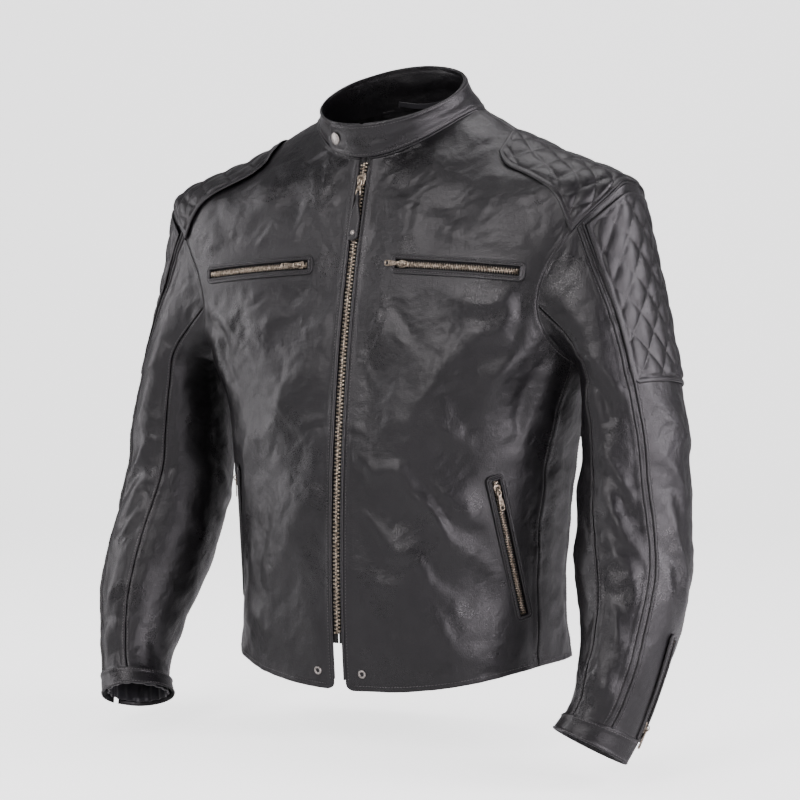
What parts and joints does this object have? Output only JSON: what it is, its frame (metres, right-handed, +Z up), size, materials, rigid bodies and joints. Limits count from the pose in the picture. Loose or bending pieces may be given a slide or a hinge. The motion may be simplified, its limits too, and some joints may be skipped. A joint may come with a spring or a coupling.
{
  "type": "leather riding jacket",
  "caption": "Leather riding jacket with a band collar and snap tab, full-length front zip, zipped chest, hand and cuff openings, and quilted shoulder and sleeve pads.",
  "frame": {"origin": "centre of the neck hole, where a neck or a hanger holds the jacket up", "axes": "+Z up, -Y out of the front, +X towards the wearer's left"},
  "size_m": [0.712, 0.2808, 0.7276],
  "materials": {
    "leather": "satin pebbled black",
    "quilted_leather": "satin quilted black",
    "lining": "black satin",
    "brass": "antique",
    "nickel": "satin nickel"
  },
  "bodies": {
    "torso": {"front_panel_left": "leather", "front_panel_right": "leather", "back_panel": "leather", "side_panel_left": "leather", "side_panel_right": "leather", "shoulder_pad_left": "quilted_leather", "shoulder_pad_right": "quilted_leather", "hem_eyelet_left": "nickel", "hem_eyelet_right": "nickel", "collar_stand": "leather", "snap_stud": "nickel", "hanger_loop": "lining", "front_zip_left": "brass", "front_zip_right": "brass", "chest_welt_left": "leather", "chest_welt_right": "leather", "chest_zip_left": "brass", "chest_zip_right": "brass", "chest_bag_left": "lining", "chest_bag_right": "lining", "hand_welt_left": "leather", "hand_welt_right": "leather", "hand_zip_left": "brass", "hand_zip_right": "brass", "hand_bag_left": "lining", "hand_bag_right": "lining", "body_lining": "lining"},
    "sleeve_left": {"sleeve_outer_left": "leather", "sleeve_front_left": "leather", "sleeve_inner_left": "leather", "sleeve_patch_left": "quilted_leather", "cuff_left": "leather", "cuff_zip_left": "brass", "sleeve_lining_left": "lining"},
    "sleeve_right": {"sleeve_outer_right": "leather", "sleeve_front_right": "leather", "sleeve_inner_right": "leather", "sleeve_patch_right": "quilted_leather", "cuff_right": "leather", "cuff_zip_right": "brass", "sleeve_lining_right": "lining"},
    "collar_tab": {"collar_tab": "leather", "snap_cap": "nickel"},
    "front_slider": {"front_zip_slider": "brass"},
    "front_puller": {"front_zip_puller": "brass"},
    "front_strap": {"front_zip_strap": "leather", "strap_rivet": "nickel"},
    "chest_slider_left": {"chest_slider_left": "brass"},
    "chest_puller_left": {"chest_puller_left": "brass"},
    "hand_slider_left": {"hand_slider_left": "brass"},
    "hand_puller_left": {"hand_puller_left": "brass"},
    "cuff_slider_left": {"cuff_slider_left": "brass"},
    "cuff_puller_left": {"cuff_puller_left": "brass"},
    "chest_slider_right": {"chest_slider_right": "brass"},
    "chest_puller_right": {"chest_puller_right": "brass"},
    "hand_slider_right": {"hand_slider_right": "brass"},
    "hand_puller_right": {"hand_puller_right": "brass"},
    "cuff_slider_right": {"cuff_slider_right": "brass"},
    "cuff_puller_right": {"cuff_puller_right": "brass"}
  },
  "joints": [
    {"name": "sleeve_swing_left", "type": "hinge", "parent": "torso", "child": "sleeve_left", "pos_m": [0.278, -0.027, -0.06802], "axis": [0, -1, 0], "range_deg": [0, 32]},
    {"name": "sleeve_swing_right", "type": "hinge", "parent": "torso", "child": "sleeve_right", "pos_m": [-0.278, -0.027, -0.06802], "axis": [0, 1, 0], "range_deg": [0, 32]},
    {"name": "collar_tab_hinge", "type": "hinge", "parent": "torso", "child": "collar_tab", "pos_m": [0.00245, -0.09448, -0.01867], "axis": [-0.0127, -0.2682, 0.9633], "range_deg": [0, 105]},
    {"name": "front_slider_run", "type": "hinge", "parent": "torso", "child": "front_slider", "pos_m": [0, 1.29903, -0.45074], "axis": [1, 0, 0], "range_deg": [0, 18.79]},
    {"name": "front_puller_hinge", "type": "hinge", "parent": "front_slider", "child": "front_puller", "pos_m": [0, -0.09803, -0.06009], "axis": [-1, 0, 0], "range_deg": [0, 115]},
    {"name": "front_strap_hinge", "type": "hinge", "parent": "front_puller", "child": "front_strap", "pos_m": [0, -0.10229, -0.07566], "axis": [-1, 0, 0], "range_deg": [0, 50]},
    {"name": "chest_slider_run_left", "type": "hinge", "parent": "torso", "child": "chest_slider_left", "pos_m": [0.0644, 0.40288, -0.24705], "axis": [0.0462, 0.1829, 0.982], "range_deg": [0, 12.83]},
    {"name": "chest_puller_hinge_left", "type": "hinge", "parent": "chest_slider_left", "child": "chest_puller_left", "pos_m": [0.06459, -0.1198, -0.14971], "axis": [0.0462, 0.1829, 0.982], "range_deg": [0, 150]},
    {"name": "hand_slider_run_left", "type": "slide", "parent": "torso", "child": "hand_slider_left", "axis": [0.1095, 0.2374, -0.9652], "range_m": [0, 0.12638]},
    {"name": "hand_puller_hinge_left", "type": "hinge", "parent": "hand_slider_left", "child": "hand_puller_left", "pos_m": [0.16431, -0.09394, -0.38443], "axis": [-0.5543, -0.7915, -0.2576], "range_deg": [0, 150]},
    {"name": "cuff_slider_run_left", "type": "hinge", "parent": "sleeve_left", "child": "cuff_slider_left", "pos_m": [-0.29387, -0.14968, -0.39845], "axis": [0.1595, -0.9601, 0.2297], "range_deg": [0, 7.01]},
    {"name": "cuff_puller_hinge_left", "type": "hinge", "parent": "cuff_slider_left", "child": "cuff_puller_left", "pos_m": [0.3326, -0.09731, -0.61443], "axis": [0.1595, -0.9601, 0.2297], "range_deg": [0, 150]},
    {"name": "chest_slider_run_right", "type": "hinge", "parent": "torso", "child": "chest_slider_right", "pos_m": [-0.0644, 0.40288, -0.24705], "axis": [0.0462, -0.1829, -0.982], "range_deg": [0, 12.83]},
    {"name": "chest_puller_hinge_right", "type": "hinge", "parent": "chest_slider_right", "child": "chest_puller_right", "pos_m": [-0.06459, -0.1198, -0.14971], "axis": [-0.0462, 0.1829, 0.982], "range_deg": [0, 150]},
    {"name": "hand_slider_run_right", "type": "slide", "parent": "torso", "child": "hand_slider_right", "axis": [-0.1095, 0.2374, -0.9652], "range_m": [0, 0.12638]},
    {"name": "hand_puller_hinge_right", "type": "hinge", "parent": "hand_slider_right", "child": "hand_puller_right", "pos_m": [-0.16431, -0.09394, -0.38443], "axis": [-0.5543, 0.7915, 0.2576], "range_deg": [0, 150]},
    {"name": "cuff_slider_run_right", "type": "hinge", "parent": "sleeve_right", "child": "cuff_slider_right", "pos_m": [0.29387, -0.14968, -0.39845], "axis": [0.1595, 0.9601, -0.2297], "range_deg": [0, 7.01]},
    {"name": "cuff_puller_hinge_right", "type": "hinge", "parent": "cuff_slider_right", "child": "cuff_puller_right", "pos_m": [-0.3326, -0.09731, -0.61443], "axis": [0.1595, 0.9601, -0.2297], "range_deg": [0, 150]}
  ]
}
